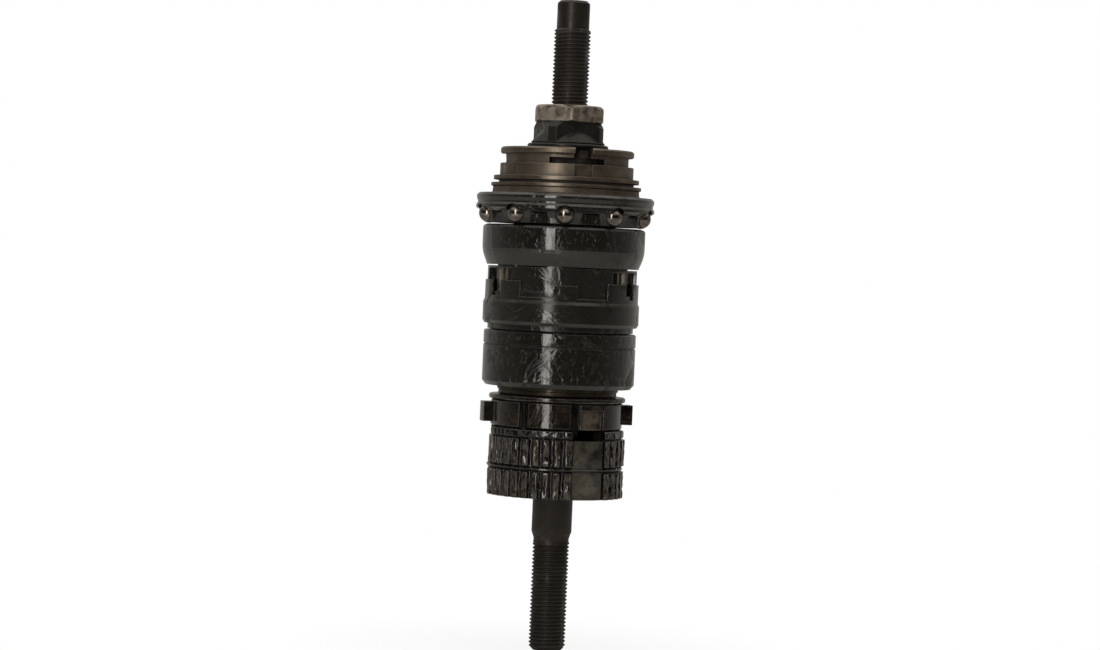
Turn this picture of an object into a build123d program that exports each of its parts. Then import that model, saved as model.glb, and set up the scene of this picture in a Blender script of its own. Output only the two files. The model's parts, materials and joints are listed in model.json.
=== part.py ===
from build123d import *
import os
from math import acos, cos, pi, radians, sin, sqrt, tan

# Internal unit of a three-speed bicycle hub with a coaster brake, in millimetres.
# The axle lies along Z with the brake end at z = 0 and the chain side up.
# An azimuth of 0 faces the front (-Y) and grows towards +X.

# Clearances
RUN = 0.05          # radial play of a shaft in its bore
GAP = 0.30          # space between pieces that pass each other
SHIM = 0.10         # space between thrust faces

# Axle
THREAD_R = 4.7625   # outer radius of the 3/8 inch thread
ENGAGED_R = 4.40    # where the thread meets the cone and the nut
FLAT_AF = 8.90      # width across the two wrench flats
FLAT_AZIMUTH = 67.5
LEFT_THREAD = 28.2
LEFT_FLAT = 20.0
LEFT_CHAMFER = 1.15
RELIEF_R = 4.60
RELIEF = 0.9
SHANK_R = 5.20
SHANK_TAPER = 1.7
SHANK_TO_SHOES = 9.5
SLEEVE_SEAT_R = 5.60
THREAD_OUT = 19.75  # thread that stands above the lock nut
TIP_R = 4.20
TIP_LENGTH = 7.4
ROD_BORE_R = 2.10
KEY_SLOT_WIDTH = 2 * ROD_BORE_R + 0.2
SHOES = 3
PINIONS = 3

# Brake
SHOE_R = 18.05
SHOE_BORE_R = 13.0
SHOE_ARC = 88.3
SHOE_AZIMUTH = -29.5
SHOE_ROW = 6.7
SHOE_BAND = 1.6
SHOE_BAND_STEP = 0.45
SHOE_COLLAR = 1.9
SHOE_COLLAR_GROOVE = 0.5
FLUTE_PITCH = 9.0
FLUTE_DEPTH = 0.45
SHOE_LIFT = 0.40    # outward travel of each shoe
RIB_CLEAR = 2.0     # degrees free beside each anchor rib
CAM_TURN = 12.0     # turn of the cam that gives the full lift
ROLLER_R = 1.50
ROLLER_SINK = 0.75  # depth of the roller's pocket in the shoe
ANCHOR_STEP = 0.85
ANCHOR_PLATE = 1.0
SPRING_RING_WIRE_R = 0.40
CAM_RING_R = 17.0
CAM_RING = 6.7
EAR_REACH = 2.9
EAR_ARC = 13.0
EAR_AZIMUTH = 103.5
EAR_HEIGHT = 5.1
FRICTION_RIM = 0.65
FRICTION = 1.2
BRONZE_R = 15.3
BRONZE = 1.0
THRUST_R = 15.65
THRUST = 0.8

# Roller clutch between the planet carrier and the brake
DRUM_R = 19.7
DRUM_WALL = 3.1
DRUM = 14.15
DRUM_WEB = 1.8
STAR_R = 12.75
TAIL_R = 6.72
CLUTCH_ROLLERS = 6

# Planet train
MODULE = 0.8
SUN_TEETH = 16
PINION_TEETH = 14
RING_TEETH = SUN_TEETH + 2 * PINION_TEETH
ADDENDUM = 0.85 * MODULE
DEDENDUM = 1.25 * MODULE
THINNING = 0.07     # taken off each tooth so that the teeth run with play
PINION_LENGTH = 12.6
PIN_R = 2.0
WINDOW_AZIMUTH = 60.0
CARRIER_CLEAR = 0.42
CARRIER_WALL = 0.6
CARRIER_DISC = 7.7
CARRIER_FOOT_STEP = 0.45
CARRIER_FOOT = 1.4
NECK = 7.1
WINDOW_ARC = 36.0
TOP_PLATE = 1.0
LATCH_WALL = 0.85
LATCH_BODY = 6.2
LATCH_TAB_WALL = 0.5
LATCH_TAB = 4.0
LATCH_TAB_ARC = 20.0
LATCH_TAB_SPREAD = 16.0
LATCH_TURN = 2.0
LATCH_MIDDLE = 3.2      # height of the low tab between the windows
LATCH_MIDDLE_ARC = 22.0
LATCH_MIDDLE_TURN = -1.0
RING_WALL = 2.4
RING_FOOT_WALL = 1.05
RING_HEIGHT = 10.4
RING_WEB = 1.5

# Sliding clutch
CLUTCH_BORE_R = 7.40
CLUTCH_ARM = 5.0
CLUTCH_HEIGHT = 3.4
CLUTCH_TRAVEL = 2.4
SLEEVE_FLANGE_R = 8.8
SLEEVE_FLANGE = 2.6
KEY_HEIGHT = 2.0
KEY_SHORT = 1.2     # how much the key is shorter than the sleeve flange
CLUTCH_SPRING_R = 6.30
CLUTCH_WIRE = 0.9
CLUTCH_WIRE_HEIGHT = 0.5

# Driver and its bearings
BALL_R = 2.381      # 3/16 inch balls under the hub shell
BALL_STEP = 3.46    # from the sprocket seat out to the ball circle
BALLS = 10
CONE_BALL_R = 1.5875
CONE_BALL_PITCH_R = 8.60
CONE_BALLS = 9
NECK_R = 14.2
NECK_WALL = 0.8
DRIVER_BORE_R = 10.5
FLANGE_RIM = 1.1     # flange beyond the ball circle
SHOULDER = 1.56      # step from the seat to the shoulder
WASHER_RIM = 1.91
WASHER = 0.8
SEAT_R = 17.24
SEAT = 3.16
CLIP_GROOVE_DEPTH = 1.37
CLIP_GROOVE = 2.5
LIP = 1.7
NOTCH = 4.6
NOTCH_AZIMUTH = 14.4
NOTCH_DEPTH = 1.5    # below the clip groove
RECESS_DEPTH = 1.9   # below the clip groove, where the clip's ears go
CAGE_WALL = 0.55
CAGE_ROLL = 0.30     # how far the rolled rim stands out
CAGE_STEP = 0.35     # how far the cage's foot lies inside the ball circle

# Cone and lock nut
CONE_R = 9.5
CONE_AF = 15.0
CONE_HEAD = 5.45
CONE_AZIMUTH = 19.2
DISC_R = 10.45
DISC = 0.95
NUT_AF = 17.0
NUT = 4.2
NUT_CORNER_R = 9.65
NUT_AZIMUTH = 4.6

# Radii that follow from the sizes above
shoe_band_r = SHOE_R - SHOE_BAND_STEP
spring_ring_r = shoe_band_r - SPRING_RING_WIRE_R
anchor_r = SHOE_R - ANCHOR_STEP
shoe_roller_r = SHOE_BORE_R + ROLLER_SINK - ROLLER_R
cam_contact_r = shoe_roller_r - ROLLER_R - 0.08
ear_r = CAM_RING_R + EAR_REACH
friction_r = CAM_RING_R + FRICTION_RIM
drum_bore_r = DRUM_R - DRUM_WALL
sun_r = MODULE * SUN_TEETH / 2
pinion_r = MODULE * PINION_TEETH / 2
ring_pitch_r = MODULE * RING_TEETH / 2
planet_r = sun_r + pinion_r
ring_r = ring_pitch_r + DEDENDUM + RING_WALL
ring_foot_r = ring_pitch_r + DEDENDUM + RING_FOOT_WALL
carrier_r = ring_pitch_r + ADDENDUM + CARRIER_CLEAR + CARRIER_WALL
carrier_foot_r = carrier_r - CARRIER_FOOT_STEP
latch_bore_r = carrier_r + RUN
latch_r = latch_bore_r + LATCH_WALL
latch_tab_r = latch_bore_r + LATCH_TAB_WALL
clutch_hub_r = DRIVER_BORE_R - 0.5
clutch_arm_r = NECK_R - NECK_WALL - 0.2
ball_pitch_r = SEAT_R + BALL_STEP
flange_r = ball_pitch_r + FLANGE_RIM
shoulder_r = SEAT_R + SHOULDER
clip_groove_r = SEAT_R - CLIP_GROOVE_DEPTH
pocket_r = BALL_R + RUN
cage_bore_r = ball_pitch_r - CAGE_STEP
cage_r = flange_r + GAP + CAGE_WALL + CAGE_ROLL

# Heights, from the brake end to the chain end
z_relief = LEFT_THREAD
z_shank = z_relief + RELIEF + SHANK_TAPER
z_shoe = z_shank + SHANK_TO_SHOES
z_band = z_shoe + SHOE_ROW
z_row_2 = z_band + SHOE_BAND
z_collar = z_row_2 + SHOE_ROW + SHOE_COLLAR_GROOVE
z_shoe_top = z_collar + SHOE_COLLAR
z_cam = z_shoe_top + GAP
z_cam_top = z_cam + CAM_RING
z_friction = z_cam_top + 2 * SHIM
z_bronze = z_friction + FRICTION + GAP
z_thrust = z_bronze + BRONZE + SHIM
z_drum = z_thrust + THRUST + SHIM
z_drum_top = z_drum + DRUM
z_foot = z_drum_top + GAP
z_disc = z_foot + CARRIER_FOOT
z_disc_top = z_disc + CARRIER_DISC
z_sun = z_disc_top + GAP
z_pinion = z_sun + SHIM
z_pinion_top = z_pinion + PINION_LENGTH
z_plate = z_pinion_top + SHIM
z_plate_top = z_plate + TOP_PLATE
z_neck_top = z_disc_top + NECK
z_ring = z_neck_top + GAP
z_ring_top = z_ring + RING_HEIGHT
z_sleeve = z_ring_top + SHIM
z_key = z_sleeve + GAP
z_clutch = z_sleeve + SLEEVE_FLANGE + SHIM
z_clutch_top = z_clutch + CLUTCH_HEIGHT
z_spring = z_clutch_top + SHIM
z_ball = z_ring_top + GAP + BALL_R
z_flange_top = z_ball + BALL_R + 2.1
z_cage_top = z_flange_top + GAP + CAGE_WALL
z_waist = z_cage_top + 1.75
z_shoulder = z_waist + 1.7
z_seat = z_shoulder + 1.15
z_groove = z_seat + SEAT
z_lip = z_groove + CLIP_GROOVE
z_driver_top = z_lip + LIP
z_cone_ball = z_driver_top - 3.4
z_disc_cap = z_driver_top + GAP
z_cone = z_disc_cap + DISC + GAP
z_cone_top = z_cone + CONE_HEAD
z_nut = z_cone_top
z_nut_top = z_nut + NUT
z_thread_top = z_nut_top + THREAD_OUT
z_top = z_thread_top + TIP_LENGTH


# Drawing helpers

def turned(*points):
    """Body turned about Z from (radius, height) points."""
    return revolve(Plane.XZ * make_face(Polyline(*points, close=True)), Axis.Z)


def tube(inner, outer, low, high):
    """Plain ring between two radii and two heights."""
    return turned((inner, low), (outer, low), (outer, high), (inner, high))


def rod(radius, low, high):
    """Plain shaft on the Z axis."""
    return turned((0, low), (radius, low), (radius, high), (0, high))


def facing(azimuth):
    """Turn that brings something drawn on +X round to an azimuth."""
    return Rot(0, 0, azimuth - 90)


def sector(points, azimuth, arc):
    """Part of a turned body, centred on an azimuth."""
    face = Plane.XZ * make_face(Polyline(*points, close=True))
    return facing(azimuth - arc / 2) * revolve(face, Axis.Z, revolution_arc=arc)


def block(points, azimuth, arc):
    """Sector with the plain section between two (radius, height) corners."""
    (inner, low), (outer, high) = points
    return sector([(inner, low), (outer, low), (outer, high), (inner, high)], azimuth, arc)


def slab(inner, outer, width, low, high):
    """Box on +X from one radius to another."""
    box = Box(outer - inner, width, high - low, align=(Align.MIN, Align.CENTER, Align.MIN))
    return Pos(inner, 0, low) * box


def around(shape, count, azimuth=0):
    """Copies of a shape drawn on +X, spread evenly round the axle."""
    return [facing(azimuth + i * 360 / count) * shape for i in range(count)]


def polar(radius, angle):
    """Point at a radius and an angle in degrees."""
    return radius * cos(radians(angle)), radius * sin(radians(angle))


# Gear teeth with a 20 degree pressure angle

def half_tooth(teeth, radius, grow):
    """Half of a tooth's angle at a radius, in degrees; grow is added to its thickness."""
    pitch = MODULE * teeth / 2
    base = pitch * cos(radians(20))
    alpha = acos(min(1.0, base / max(radius, base)))
    spread = tan(radians(20)) - radians(20) - tan(alpha) + alpha
    return (pi / (2 * teeth) + grow / (2 * pitch) + spread) * 180 / pi


def gear_face(teeth, root, tip, grow, turn):
    """Outline of a toothed wheel with one tooth centred on the angle turn."""
    pitch = MODULE * teeth / 2
    radii = [root, pitch - 0.4 * MODULE, pitch, tip]
    points = []
    for i in range(teeth):
        middle = turn + i * 360 / teeth
        for r in radii:
            points.append(polar(r, middle - half_tooth(teeth, r, grow)))
        for r in reversed(radii):
            points.append(polar(r, middle + half_tooth(teeth, r, grow)))
    return make_face(Polyline(*points, close=True))


SUN_TURN = 90.0
window_azimuths = [-WINDOW_AZIMUTH + 360 / PINIONS * i for i in range(PINIONS)]


# Axle: thread, flats, shank, sun teeth, seat of the clutch sleeve, thread and tip

sun_top = z_sleeve - GAP
sleeve_seat_top = z_spring + CLUTCH_TRAVEL + 2
axle = Rot(0, 0, 30) * turned(
    (0, 0), (THREAD_R - LEFT_CHAMFER, 0), (THREAD_R, LEFT_CHAMFER), (THREAD_R, z_relief),
    (RELIEF_R, z_relief + 0.2), (RELIEF_R, z_relief + RELIEF), (SHANK_R, z_shank), (SHANK_R, z_sun - 0.2),
    (sun_r - DEDENDUM, z_sun), (sun_r - DEDENDUM, sun_top), (SLEEVE_SEAT_R, sun_top),
    (SLEEVE_SEAT_R, sleeve_seat_top), (ENGAGED_R, sleeve_seat_top + 1), (ENGAGED_R, z_nut_top),
    (THREAD_R, z_nut_top), (THREAD_R, z_thread_top - 0.5), (TIP_R, z_thread_top), (TIP_R, z_top - 0.7),
    (TIP_R - 0.7, z_top), (0, z_top),
)
sun_face = gear_face(SUN_TEETH, sun_r - DEDENDUM - 0.1, sun_r + ADDENDUM, -THINNING, SUN_TURN)
axle += Pos(0, 0, z_sun) * extrude(sun_face, sun_top - z_sun)
for side in (0, 180):
    cut = slab(FLAT_AF / 2, THREAD_R + 1, 2 * THREAD_R, -1, LEFT_FLAT)
    cut += slab(FLAT_AF / 2, THREAD_R + 1, 2 * THREAD_R, z_nut_top, z_thread_top)
    axle -= facing(FLAT_AZIMUTH + side) * cut
key_slot_height = KEY_HEIGHT + CLUTCH_TRAVEL + 2 * GAP
key_slot_top = z_key - GAP + key_slot_height
key_slot = Box(4 * SLEEVE_SEAT_R, KEY_SLOT_WIDTH, key_slot_height)
axle -= Pos(0, 0, key_slot_top - key_slot_height / 2) * key_slot
axle -= rod(ROD_BORE_R, key_slot_top - 0.5, z_top + 1)

# Lock nut: hexagon with turned chamfers

nut_blank = turned(
    (ENGAGED_R + RUN, z_nut), (NUT_CORNER_R - 0.45, z_nut), (NUT_CORNER_R, z_nut + 0.35),
    (NUT_CORNER_R, z_nut_top - 0.95), (NUT_AF / 2 - 0.3, z_nut_top), (THREAD_R + 2 * RUN, z_nut_top),
    (ENGAGED_R + RUN, z_nut_top - 0.4),
)
hexagon = RegularPolygon(NUT_AF / 2, 6, major_radius=False, rotation=NUT_AZIMUTH - 90)
lock_nut = nut_blank & Pos(0, 0, z_nut) * extrude(hexagon, NUT)

# Cone: four flats above a turned collar, and a ball track below the dust disc

cone_track = Pos(0, 0, z_cone_ball) * Torus(CONE_BALL_PITCH_R, CONE_BALL_R + RUN)
cone_seat_r = CONE_BALL_PITCH_R - SHIM
cone_bore_r = ENGAGED_R + RUN
cone_nose = z_cone_ball - CONE_BALL_R - 0.6
cone_head = turned((cone_bore_r, z_cone), (CONE_R, z_cone), (CONE_R, z_cone_top - 1.5),
                   (CONE_R - 1.1, z_cone_top), (cone_bore_r, z_cone_top))
square = Box(CONE_AF, CONE_AF, CONE_HEAD, align=(Align.CENTER, Align.CENTER, Align.MIN))
cone_head &= facing(CONE_AZIMUTH) * Pos(0, 0, z_cone) * square
cone_collar = turned((cone_bore_r, z_cone), (CONE_R + 0.1, z_cone), (CONE_AF / 2, z_cone + 2.65),
                     (cone_bore_r, z_cone + 2.65))
cone_body = turned((cone_bore_r, cone_nose), (CONE_BALL_PITCH_R - CONE_BALL_R - RUN, cone_nose),
                   (CONE_BALL_PITCH_R - CONE_BALL_R - RUN, z_cone_ball), (cone_seat_r, z_cone_ball + CONE_BALL_R),
                   (cone_seat_r, z_cone + 1), (cone_bore_r, z_cone + 1))
right_cone = cone_head + cone_collar + (cone_body - cone_track)

cone_dust_disc = turned(
    (cone_seat_r + RUN, z_disc_cap), (DISC_R - 0.2, z_disc_cap), (DISC_R, z_disc_cap + 0.2),
    (DISC_R, z_disc_cap + DISC - 0.3), (DISC_R - 0.3, z_disc_cap + DISC), (cone_seat_r + RUN, z_disc_cap + DISC),
)

# Driver: sprocket seat, clip groove, dust washer shoulder, ball flange and slotted neck

shell_track = Pos(0, 0, z_ball) * Torus(ball_pitch_r, BALL_R + RUN)
z_clutch_room = z_clutch_top + CLUTCH_TRAVEL + 0.6
driver = turned(
    (DRIVER_BORE_R, z_ring_top + GAP), (NECK_R, z_ring_top + GAP), (NECK_R, z_ball - 0.5), (NECK_R + 0.5, z_ball),
    (ball_pitch_r - BALL_R + 0.3, z_ball + 0.5), (flange_r, z_ball + BALL_R - 0.2), (flange_r, z_flange_top - 0.4),
    (flange_r - 0.4, z_flange_top), (shoulder_r + 2.1, z_flange_top), (shoulder_r + 0.2, z_cage_top + 0.4),
    (shoulder_r + 0.1, z_waist), (SEAT_R + 0.2, z_waist + 0.05), (SEAT_R + 0.2, z_shoulder),
    (shoulder_r, z_shoulder + 0.1), (shoulder_r, z_seat - 0.1), (shoulder_r - 0.2, z_seat), (SEAT_R, z_seat),
    (SEAT_R, z_groove), (clip_groove_r, z_groove), (clip_groove_r, z_lip), (SEAT_R - 0.3, z_lip),
    (SEAT_R, z_lip + 0.3), (SEAT_R, z_driver_top - 0.4), (SEAT_R - 0.4, z_driver_top),
    (CONE_BALL_PITCH_R + CONE_BALL_R + 0.9, z_driver_top), (CONE_BALL_PITCH_R + CONE_BALL_R + 0.2, z_driver_top - 0.8),
    (CONE_BALL_PITCH_R + CONE_BALL_R + 0.2, z_cone_ball), (CONE_BALL_PITCH_R, z_cone_ball - CONE_BALL_R),
    (CONE_BALL_PITCH_R - 0.7, z_cone_ball - CONE_BALL_R - 0.15), (CONE_BALL_PITCH_R - 0.7, z_cone_ball - 2.8),
    (DRIVER_BORE_R, z_cone_ball - 3.8),
)
driver -= shell_track
driver -= Pos(0, 0, z_cone_ball) * Torus(CONE_BALL_PITCH_R, CONE_BALL_R + RUN)
arm_slot = slab(0, clutch_arm_r + 0.2, CLUTCH_ARM + 0.4, z_ring_top, z_clutch_room)
driver -= around(arm_slot, 4)
notch = slab(clip_groove_r - NOTCH_DEPTH, SEAT_R + 1, NOTCH, z_groove, z_driver_top + 1)
notch += slab(clip_groove_r - 0.1, SEAT_R + 1, NOTCH, z_seat + 0.05, z_groove + 1)
driver -= around(notch, 3, NOTCH_AZIMUTH)
groove_recess = block([(clip_groove_r - RECESS_DEPTH, z_groove + 0.05), (clip_groove_r + 1, z_groove + 1.6)], 90, 54)
driver -= around(groove_recess, 3, NOTCH_AZIMUTH - 4)

washer_bore_r = SEAT_R + 0.2 + RUN
driver_dust_washer = tube(washer_bore_r, washer_bore_r + WASHER_RIM, z_waist + 0.15, z_waist + 0.15 + WASHER)

# Ball cages and their balls

cage_band = turned(
    (cage_bore_r, z_ball - BALL_R + 0.15), (cage_bore_r + CAGE_WALL, z_ball - BALL_R + 0.15),
    (cage_bore_r + 1.3 * CAGE_WALL, z_ball - 0.9), (cage_bore_r + 2.3 * CAGE_WALL, z_ball + 0.6),
    (cage_r + 0.1, z_ball + 1.5), (cage_r + 0.1, z_ball + 2.2), (cage_r - 0.3, z_ball + 2.8),
    (cage_r - 0.3, z_ball + 3.2), (cage_r, z_ball + 4.1), (cage_r, z_cage_top - 0.6), (cage_r - 0.6, z_cage_top),
    (shoulder_r + 2.0, z_cage_top), (shoulder_r + 2.0, z_cage_top - CAGE_WALL), (flange_r + GAP, z_cage_top - CAGE_WALL),
    (flange_r + GAP, z_ball + 1.7), (cage_bore_r + CAGE_WALL, z_ball + 0.8), (cage_bore_r, z_ball - 0.7),
)
pocket = Pos(ball_pitch_r, 0, z_ball) * Rot(0, 90, 0) * Cylinder(pocket_r, 8)
cage_notch = Plane.YZ * make_face(Polyline((-3.1, z_ball - 3), (3.1, z_ball - 3), (2.2, z_ball + 0.6),
                                           (-2.2, z_ball + 0.6), close=True))
cage_notch = Pos(ball_pitch_r, 0, 0) * extrude(cage_notch, 5)
shell_ball_cage = cage_band - around(pocket, BALLS) - around(cage_notch, BALLS, 180 / BALLS)
shell_balls = Part() + around(Pos(ball_pitch_r, 0, z_ball) * Sphere(BALL_R), BALLS)

rim = [(CONE_BALL_PITCH_R + 0.75, z_cone_ball + 1.6), (CONE_BALL_PITCH_R + 1.35, z_cone_ball + 1.6),
       (CONE_BALL_PITCH_R + 1.35, z_cone_ball + 2.2), (CONE_BALL_PITCH_R + 0.75, z_cone_ball + 2.2)]
finger = [(CONE_BALL_PITCH_R - 0.8, z_cone_ball - 0.3), (CONE_BALL_PITCH_R + 0.2, z_cone_ball - 0.9),
          (CONE_BALL_PITCH_R + 1.1, z_cone_ball + 0.3), (CONE_BALL_PITCH_R + 1.35, z_cone_ball + 1.8),
          (CONE_BALL_PITCH_R + 0.75, z_cone_ball + 1.8), (CONE_BALL_PITCH_R + 0.4, z_cone_ball + 0.9)]
cone_ball_cage = turned(*rim) + around(sector(finger, 90, 10), CONE_BALLS, 180 / CONE_BALLS)
cone_balls = Part() + around(Pos(CONE_BALL_PITCH_R, 0, z_cone_ball) * Sphere(CONE_BALL_R), CONE_BALLS)

# Sliding clutch on its sleeve, with the key that crosses the axle and the return spring

leg_low = z_plate_top + 0.7
clutch_arm = slab(clutch_hub_r - 1, clutch_arm_r, CLUTCH_ARM, z_clutch, z_clutch_top)
clutch_leg = slab(DRIVER_BORE_R + 0.5, clutch_arm_r, CLUTCH_ARM, leg_low, z_clutch + 1)
sliding_clutch = tube(CLUTCH_BORE_R, clutch_hub_r, z_clutch, z_clutch_top)
sliding_clutch += around(clutch_arm + clutch_leg, 4)

clutch_sleeve = turned(
    (SLEEVE_SEAT_R + RUN, z_sleeve), (SLEEVE_FLANGE_R, z_sleeve), (SLEEVE_FLANGE_R, z_sleeve + SLEEVE_FLANGE),
    (CLUTCH_BORE_R - RUN, z_sleeve + SLEEVE_FLANGE), (CLUTCH_BORE_R - RUN, z_clutch_top),
    (SLEEVE_SEAT_R + RUN, z_clutch_top),
)
key_room = Box(3 * SLEEVE_FLANGE_R, KEY_SLOT_WIDTH, KEY_HEIGHT + 0.1)
clutch_sleeve -= Pos(0, 0, z_key + KEY_HEIGHT / 2) * key_room
key_bar = Box(2 * SLEEVE_FLANGE_R - KEY_SHORT, KEY_SLOT_WIDTH - 2 * SHIM, KEY_HEIGHT)
clutch_key = Pos(0, 0, z_key + KEY_HEIGHT / 2) * key_bar

spring_low = z_spring + CLUTCH_WIRE_HEIGHT / 2
spring_high = cone_nose - SHIM - CLUTCH_WIRE_HEIGHT / 2
spring_rise = spring_high - spring_low
spring_path = Pos(0, 0, spring_low) * Helix(spring_rise / 4, spring_rise, CLUTCH_SPRING_R)
spring_start = Plane(spring_path @ 0, x_dir=(1, 0, 0), z_dir=spring_path % 0)
clutch_spring = sweep(spring_start * Rectangle(CLUTCH_WIRE, CLUTCH_WIRE_HEIGHT), path=spring_path, is_frenet=True)

# Planet train: ring gear with its slotted web, carrier, pins, pinions and the castellated ring

ring_gear = turned(
    (ring_pitch_r - ADDENDUM, z_ring), (ring_foot_r, z_ring), (ring_foot_r + 0.2, z_ring + 0.6),
    (ring_r - 0.80, z_ring + 1.5), (ring_r - 0.48, z_ring + 2.3), (ring_r - 0.22, z_ring + 3.2),
    (ring_r - 0.06, z_ring + 4.2), (ring_r, z_ring + 5.2), (ring_r, z_ring_top - 0.8), (ring_r - 0.25, z_ring_top - 0.3),
    (ring_r - 1.0, z_ring_top),
    (DRIVER_BORE_R + 0.3, z_ring_top), (DRIVER_BORE_R + 0.3, z_ring_top - RING_WEB),
    (ring_pitch_r - ADDENDUM, z_ring_top - RING_WEB - 0.8),
)
space = gear_face(RING_TEETH, ring_pitch_r - ADDENDUM - 0.5, ring_pitch_r + DEDENDUM, THINNING, 180 / RING_TEETH)
ring_gear -= Pos(0, 0, z_ring - 1) * extrude(space, RING_HEIGHT - RING_WEB - 0.8)
web_slot = slab(clutch_hub_r, clutch_arm_r + 0.2, CLUTCH_ARM + 0.4, z_ring_top - RING_WEB - 1, z_ring_top + 1)
ring_gear -= around(web_slot, 4)

carrier_bore_r = SHANK_R + RUN
planet_carrier = turned(
    (carrier_bore_r, z_thrust + THRUST + GAP), (TAIL_R, z_thrust + THRUST + GAP), (TAIL_R, z_drum + DRUM_WEB + 0.5),
    (STAR_R, z_drum + DRUM_WEB + 0.5), (STAR_R, z_foot), (carrier_foot_r, z_foot), (carrier_foot_r, z_disc),
    (carrier_r, z_disc), (carrier_r, z_neck_top), (carrier_r - CARRIER_WALL, z_neck_top),
    (carrier_r - CARRIER_WALL, z_disc_top), (carrier_bore_r, z_disc_top),
)
for azimuth in window_azimuths:
    planet_carrier -= block([(carrier_r - 3, z_disc_top + 0.5), (carrier_r + 1, z_neck_top - 0.6)], azimuth, WINDOW_ARC)
plate_r = ring_pitch_r - ADDENDUM - GAP
top_plate = tube(sun_r + ADDENDUM + GAP, plate_r, z_plate, z_plate_top)
pinion_room = rod(pinion_r + ADDENDUM + GAP, z_disc_top - 1, z_plate + 1)
bridge = tube(sun_r + ADDENDUM + GAP, plate_r, z_disc_top - 0.5, z_plate + 0.5)
bridge -= around(Pos(planet_r, 0, 0) * pinion_room, PINIONS, WINDOW_AZIMUTH)
planet_carrier += bridge + top_plate
pin_hole = rod(PIN_R + 0.02, z_disc + 2, z_plate_top + 1)
planet_carrier -= around(Pos(planet_r, 0, 0) * pin_hole, PINIONS, WINDOW_AZIMUTH)
pin = Pos(planet_r, 0, 0) * rod(PIN_R, z_disc + 2.1, z_plate_top + 0.3)
pinion_pins = Part() + around(pin, PINIONS, WINDOW_AZIMUTH)


def pinion(azimuth):
    """Planet pinion in mesh with the sun and the ring at rest."""
    angle = azimuth - 90
    turn = ((SUN_TEETH + PINION_TEETH) * angle - SUN_TEETH * SUN_TURN - 180) / PINION_TEETH
    face = gear_face(PINION_TEETH, pinion_r - DEDENDUM, pinion_r + ADDENDUM, -THINNING, turn)
    wheel = Pos(0, 0, z_pinion) * extrude(face, PINION_LENGTH) - rod(PIN_R + RUN, z_pinion - 1, z_pinion_top + 1)
    return Pos(*polar(planet_r, angle), 0) * wheel


pinions = [pinion(azimuth) for azimuth in window_azimuths]

z_notch = z_disc + LATCH_BODY + 1
castellated_ring = turned(
    (latch_bore_r, z_disc), (latch_r - 0.5, z_disc), (latch_r, z_disc + 0.8), (latch_r, z_disc + LATCH_BODY - 0.7),
    (latch_r - 0.3, z_disc + LATCH_BODY), (latch_tab_r, z_disc + LATCH_BODY), (latch_tab_r, z_notch + LATCH_TAB),
    (latch_bore_r, z_notch + LATCH_TAB),
)
half_tab = LATCH_TAB_ARC / 2
tab_end = LATCH_TAB_SPREAD + half_tab
middle_tab = 180 / PINIONS + LATCH_MIDDLE_TURN
cuts = [(half_tab - LATCH_TAB_SPREAD, LATCH_TAB_SPREAD - half_tab, 0),
        (tab_end, middle_tab - LATCH_MIDDLE_ARC / 2, 0),
        (middle_tab - LATCH_MIDDLE_ARC / 2 - 0.5, middle_tab + LATCH_MIDDLE_ARC / 2 + 0.5, LATCH_MIDDLE),
        (middle_tab + LATCH_MIDDLE_ARC / 2, 360 / PINIONS - tab_end, 0)]
for azimuth in window_azimuths:
    for start, end, floor in cuts:
        notch_middle = azimuth + LATCH_TURN + (start + end) / 2
        corners = [(carrier_r - 1, z_notch + floor), (latch_r + 1, z_notch + LATCH_TAB + 1)]
        castellated_ring -= block(corners, notch_middle, end - start)

# Roller clutch: drum, roller cage and rollers

clutch_drum = turned(
    (TAIL_R + RUN, z_drum), (DRUM_R - 0.9, z_drum), (DRUM_R, z_drum + 1.1), (DRUM_R, z_drum + 10.3),
    (DRUM_R - 0.25, z_drum + 10.45), (DRUM_R - 0.25, z_drum + 10.65), (DRUM_R, z_drum + 10.8),
    (DRUM_R, z_drum_top - 0.3), (DRUM_R - 0.3, z_drum_top), (drum_bore_r, z_drum_top),
    (drum_bore_r, z_drum + DRUM_WEB), (TAIL_R + RUN, z_drum + DRUM_WEB),
)
clutch_roller_r = (drum_bore_r - STAR_R) / 2 - RUN
clutch_roller_pitch = (drum_bore_r + STAR_R) / 2
cage_low = z_drum + DRUM_WEB + GAP
roller_bar = Pos(clutch_roller_pitch, 0, 0) * rod(clutch_roller_r, cage_low + 0.8, z_drum_top - 0.9)
roller_pocket = Pos(clutch_roller_pitch, 0, 0) * rod(clutch_roller_r + 0.1, cage_low + 0.7, z_drum_top - 0.8)
clutch_roller_cage = tube(STAR_R + GAP, drum_bore_r - GAP, cage_low, z_drum_top - 0.2)
clutch_roller_cage -= around(roller_pocket, CLUTCH_ROLLERS)
clutch_rollers = Part() + around(roller_bar, CLUTCH_ROLLERS)

# Thrust washers on the shank

thrust_washer = tube(SHANK_R + RUN, THRUST_R, z_thrust, z_thrust + THRUST)
bronze_washer = tube(SHANK_R + RUN, BRONZE_R, z_bronze, z_bronze + BRONZE)
cam_friction_ring = turned(
    (SHANK_R + RUN, z_friction), (friction_r - 0.2, z_friction), (friction_r, z_friction + 0.2),
    (friction_r, z_friction + FRICTION - 0.3), (friction_r - 0.3, z_friction + FRICTION),
    (SHANK_R + RUN, z_friction + FRICTION),
)

# Brake cam: lug ring with two ears above a hub with three spiral lobes

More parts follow.
